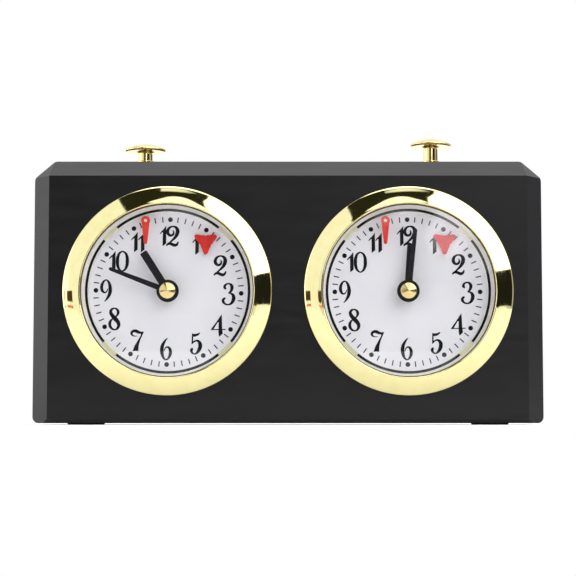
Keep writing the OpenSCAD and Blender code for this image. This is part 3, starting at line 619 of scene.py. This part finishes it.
def make_button(side):
    """A mushroom cap on its stem, with the stop collar and the thin tip inside the case."""
    node = side + "_button"
    low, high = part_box(node)
    centre = (low + high) / 2
    cap_r = (high.x - low.x) / 2 / MM
    top = (high.z - low.z) / MM
    tip_r, tip_h, stem_r, stop_r, stop_h, cap_h, rim_r = 1.5, 2.94, 2.875, 4.2, 0.8, 3.3, 0.65
    # the stop stands just under the ferrule while the button is up, as the right-hand one is
    stop_top = (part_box("button_bushes")[0].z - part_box("right_button")[0].z) / MM - 0.25
    stop_low = stop_top - stop_h
    rim = top - cap_h
    # the dome starts where the round rim has turned 60 degrees past its widest
    edge_r, edge_h = cap_r - rim_r / 2, 1.213
    rise = cap_h - edge_h
    ball = (edge_r ** 2 + rise ** 2) / (2 * rise)
    half = math.degrees(math.asin(edge_r / ball))
    dome = list(arc((0, top - ball), ball, 90 - half, 89, 16))
    foot = rounded(
        [(tip_r, 0), (tip_r, tip_h), (stem_r, tip_h), (stem_r, stop_low), (stop_r, stop_low),
         (stop_r, stop_top), (stem_r, stop_top)],
        [0.3, 0, 0.2, 0, 0.15, 0.15, 0])
    flare = [
        (stem_r, stop_top + 0.3), (stem_r, rim - 0.6), (stem_r, rim - 0.55), (stem_r + 0.12, rim - 0.3),
        (stem_r + 0.45, rim - 0.06), (stem_r + 1.2, rim + 0.02), (cap_r - 2 * rim_r, rim + 0.02),
    ]
    edge = arc((cap_r - rim_r, rim + rim_r), rim_r, -90, 60, 12)
    profile = [(0, 0), *foot, *flare, *edge, *dome[1:], (0, top)]
    place = Matrix.Translation((centre.x, centre.y, low.z))
    shape = Shape().turned(profile, 96, closed=False)
    piece = shape.build(side + "_push_button", place, node, "button_gold")
    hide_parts(node)


def make_bush(side):
    """The ferrule round a button's stem: a sleeve through the case under a collar with a short neck."""
    low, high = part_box("button_bushes")
    button = middle(side + "_button")
    bore, sleeve, collar, neck, neck_h = 2.935, 4.0, 4.8, 3.4, 3.1
    flange = (high.z - case_high.z) / MM
    depth = (case_high.z - low.z) / MM - 0.1
    profile = rounded(
        [(bore, -depth), (sleeve, -depth), (sleeve, 0), (collar, 0), (collar - 0.05, flange * 0.75),
         (collar - 0.6, flange), (neck, flange + 0.1), (neck, flange + 0.3), (neck, neck_h - 0.3),
         (neck, neck_h), (bore, neck_h)],
        [0.1, 0.15, 0, 0, 0.2, 0.2, 0.1, 0, 0, 0.2, 0.15])
    place = Matrix.Translation((button.x, button.y, case_high.z))
    shape = Shape().turned(profile, 72)
    piece = shape.build(side + "_button_ferrule", place, "case", "button_gold")
    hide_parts("button_bushes")


def make_nut(side):
    """A turned nut: a short drum, a small step and a blunt cone."""
    node = side + "_hand_nut"
    low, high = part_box(node)
    radius = (high.x - low.x) / 2 / MM
    front = (FRONT_Y - low.y) / MM
    back = (FRONT_Y - high.y) / MM
    profile = [
        (0.95, back), (radius - 0.08, back), (radius, back + 0.08), (radius, 0.66), (radius - 0.1, 0.74),
        (0.2, front - 0.03), (0, front), (0, 0.32), (0.8, 0.28), (0.95, 0.2),
    ]
    shape = Shape().turned(profile, 72)
    piece = shape.build(side + "_cone_nut", dial_frame(side), side + "_minute", "nut_brass", sharp=15)
    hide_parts(node)


def make_feet():
    """Four press-in feet, each a pad with a soft edge and a stem."""
    low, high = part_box("feet")
    pad_r, stem_r = 5.5, 2.0
    pad = (case_low.z - low.z) / MM
    top = (high.z - low.z) / MM
    profile = [(0, 0), (pad_r - 0.5, 0), (pad_r - 0.15, 0.1), (pad_r, 0.35), (pad_r, pad), (stem_r, pad),
               (stem_r, top - 0.3), (stem_r - 0.3, top), (0, top)]
    for front, y in (("front", low.y + pad_r * MM), ("back", high.y - pad_r * MM)):
        for side, x in (("left", low.x + pad_r * MM), ("right", high.x - pad_r * MM)):
            place = Matrix.Translation((x, y, low.z))
            shape = Shape().turned(profile, 48, closed=False)
            piece = shape.build(f"{front}_{side}_foot", place, "case", "foot_rubber")
            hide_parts("feet")


# ---------------------------------------------------------------- back of the case

def make_arrows(side):
    """Raised arcs with arrowheads round the winding key and the setting knob: which way each turns."""
    shape = Shape()
    low, high, half_line, head_long, head_half = 0, 0.18, 0.45, 3.2, 1.7
    knob = middle(side + "_setting_knob")
    for node, radius, start, stop in (("_winding_key", 12.6, 150, 30), ("_setting_knob", 9.2, 30, 150)):
        part = middle(side + node)
        x = (knob.x - part.x) / MM
        y = (part.z - knob.z) / MM
        lines = [list(arc((x, y), r, start, stop, 24)) for r in (radius + half_line, radius - half_line)]
        if start < stop:
            lines.reverse()
        shape.strip(*lines, low, high)
        tip = math.radians(stop)
        point = Vector((x + radius * math.cos(tip), y + radius * math.sin(tip)))
        ahead = Vector((-math.sin(tip), math.cos(tip))) * (1 if stop > start else -1)
        out = Vector((math.cos(tip), math.sin(tip)))
        head = [point + ahead * head_long, point - out * head_half, point + out * head_half]
        if (head[1] - head[0]).cross(head[2] - head[0]) < 0:
            head.reverse()
        shape.solid([tuple(p) for p in head], low, high)
    place = Matrix.Translation((knob.x, BACK_Y, knob.z)) @ TO_BACK
    shape.build(side + "_arrows", place, "case", "cover_plastic", [PRINT_GREY], sharp=20)


# ---------------------------------------------------------------- the CAD nodes that show as they are

SOFT_EDGES = {"case_shell": 0.35, "back_cover": 0.3, "back_cover_screws": 0.12, "dial_rings": 0.1}
SOFT_EDGES_OF_SIDE = {
    "_minute_hand": 0.1, "_hour_hand": 0.1, "_flag": 0.07, "_tick_rotor": 0.12, "_winding_key": 0.25,
    "_setting_knob": 0.12,
}


def dress_nodes():
    """Each CAD node gets the finish of its material slot, and those that show from outside softer edges."""
    for name, node in nodes.items():
        node.data.materials.clear()
        node.data.materials.append(FINISHES[slot_of[name]])
    for name, width in SOFT_EDGES.items():
        soften(name, width)
    for side in SIDES:
        for part, width in SOFT_EDGES_OF_SIDE.items():
            soften(side + part, width)


# ---------------------------------------------------------------- studio

def make_world():
    """A photographer's white room, painted by direction: where each light, gap and wall stands."""
    world = bpy.data.worlds.new("studio")
    bpy.context.scene.world = world
    world.use_nodes = True
    world.node_tree.nodes.clear()
    t = Tree(world.node_tree)
    way = t.add("SeparateXYZ", {"Vector": t.add("TexCoord").outputs["Generated"]}).outputs
    x, y, z = way[0], way[1], way[2]
    off_axis = t.math("MULTIPLY", t.math("ARCCOSINE", t.math("MULTIPLY", y, -1.0)), 180 / math.pi)
    up = t.math("MAXIMUM", z, 0.001)
    right = t.math("MAXIMUM", x, 0.001)
    left = t.math("MAXIMUM", t.math("MULTIPLY", x, -1.0), 0.001)
    lean = t.math("DIVIDE", x, up)

    def both(*masks):
        made = masks[0]
        for mask in masks[1:]:
            made = t.math("MULTIPLY", made, mask)
        return made

    def oval(middle_x, middle_z, half_x, half_z):
        """1 on the rim of an oval, less inside and more outside."""
        across = t.math("DIVIDE", t.math("SUBTRACT", x, middle_x), half_x)
        along = t.math("DIVIDE", t.math("SUBTRACT", z, middle_z), half_z)
        return t.math("ADD", t.math("POWER", across, 2.0), t.math("POWER", along, 2.0))

    # the near edges of the light box on the right and of the one overhead
    box_edge = t.math("ADD", 0.1, t.math("MULTIPLY", z, 0.15))
    top_lean = t.math("MULTIPLY", t.math("MAXIMUM", t.math("SUBTRACT", z, 0.77), 0.0), 0.6)
    box_edge = t.math("ADD", box_edge, top_lean)
    in_box = t.math("SUBTRACT", x, box_edge)
    roof = t.map(x, -0.14, -0.12, 0.93, 0.87)
    below_roof = t.math("SUBTRACT", roof, z)
    card = oval(0, 0.5, 0.2, 0.27)
    # the dark on the right: above it the light box, below it the table
    shade = t.math("SUBTRACT", z, t.math("MULTIPLY", x, 0.204))
    front = t.map(y, -0.05, 0.05, 1.0, 0.0)
    spot = oval(0.16, 0.205, 0.05, 0.05)
    patches = [
        # the wall behind the clock
        (t.map(y, -0.2, 0.5, smooth=True), (1.1, 1.1, 1.12, 1)),
        # overhead and left-hand light boxes
        (t.map(z, 0.9, 0.98, smooth=True), (2.75, 2.75, 2.78, 1)),
        (both(t.map(left, 0.82, 0.94, smooth=True), t.inside(z, -0.3, 0.55, 0.1)), (2.1, 2.1, 2.12, 1)),
        # the open side on the right
        (t.map(right, 0.8, 0.9, smooth=True), (0.5, 0.5, 0.52, 1)),
        # the camera and the dark behind it
        (t.map(off_axis, 18, 36, 1.0, 0.0, smooth=True), (0.085, 0.085, 0.095, 1)),
        # the large light box in front on the right, a smaller one below it, and the dark below both
        (both(t.map(in_box, -0.01, 0.01), t.map(shade, 0.061, 0.071), t.inside(off_axis, 16, 88, 3)),
         (2.6, 2.6, 2.58, 1)),
        (t.map(spot, 0.48, 1.28, 1.0, 0.0), (3.2, 3.2, 3.35, 1)),
        (both(t.map(shade, 0.061, 0.071, 1.0, 0.0), t.map(t.math("DIVIDE", z, right), -0.065, -0.055),
              t.inside(x, 0.31, 0.93, 0.01)), (0.014, 0.014, 0.01, 1)),
        # the dark gap between the light boxes, and the white card in it
        (both(t.map(lean, -0.585, -0.565), t.map(in_box, -0.01, 0.01, 1.0, 0.0),
              t.map(below_roof, -0.01, 0.01), t.map(z, 0.0, 0.05), t.inside(off_axis, 24, 90, 1)),
         (0.022, 0.021, 0.012, 1)),
        (both(t.map(card, 0.93, 1.07, 1.0, 0.0), front), (1.5, 1.5, 1.5, 1)),
    ]
    # two stands on the left, each on a red foot
    stand_top, soft = 0.07, 0.005
    for near, far, low, foot_low, foot_high in ((-0.875, -0.77, -0.015, -0.065, -0.045),
                                                (-0.59, -0.49, -0.01, -0.045, -0.03)):
        column = both(t.inside(x, near, far, soft), front)
        patches += [
            (both(column, t.inside(z, low, stand_top, soft)), (0.08, 0.04, 0.02, 1)),
            (both(column, t.inside(z, foot_low, foot_high, soft)), (0.9, 0.12, 0.08, 1)),
        ]
    colour = (1.08, 1.1, 1.12, 1)
    for mask, paint in patches:
        colour = t.blend(mask, colour, paint)
    lights = t.add("Background", {"Color": colour}).outputs[0]
    white = t.add("Background", {"Color": (1, 1, 1, 1)}).outputs[0]
    seen = t.add("LightPath").outputs["Is Camera Ray"]
    surface = t.add("MixShader", {0: seen, 1: lights, 2: white}).outputs[0]
    t.add("OutputWorld", {"Surface": surface})


def make_floor():
    """A white table top."""
    mesh = bpy.data.meshes.new("floor")
    side, back, front = 0.6, 3.0, FRONT_Y - 0.4
    z = cad_low.z
    corners = [(-side, front, z), (side, front, z), (side, back, z), (-side, back, z)]
    mesh.from_pydata(corners, [], [(0, 1, 2, 3)])
    f = Finish("floor_white", (0.9, 0.9, 0.9, 1), 0.7)
    f.colour((0.89, 0.89, 0.89, 1), (0.91, 0.91, 0.91, 1), f.noise(0.05))
    mesh.materials.append(f.material)
    floor = bpy.data.objects.new("floor", mesh)
    bpy.context.scene.collection.objects.link(floor)


def make_camera():
    """A long lens just above the table, tipped up a little."""
    camera = bpy.data.objects.new("camera", bpy.data.cameras.new("camera"))
    bpy.context.scene.collection.objects.link(camera)
    camera.data.lens = 107.3
    camera.data.sensor_width = 36
    camera.data.clip_start = 0.01
    camera.location = (0, FRONT_Y - 0.667, 0.0018)
    camera.rotation_euler = (math.radians(90 + 4.4), 0, 0)
    bpy.context.scene.camera = camera


make_camera()
make_world()
make_floor()
dress_nodes()
for side in SIDES:
    make_bezel(side)
    make_crystal(side)
    # the dark ring at the bezel's lip is painted shade
    make_painted_gap_shade(side)
    make_print(side)
    make_ring_print(side)
    make_button(side)
    make_bush(side)
    make_nut(side)
    make_arrows(side)
make_feet()
bpy.context.scene.view_settings.view_transform = "Standard"
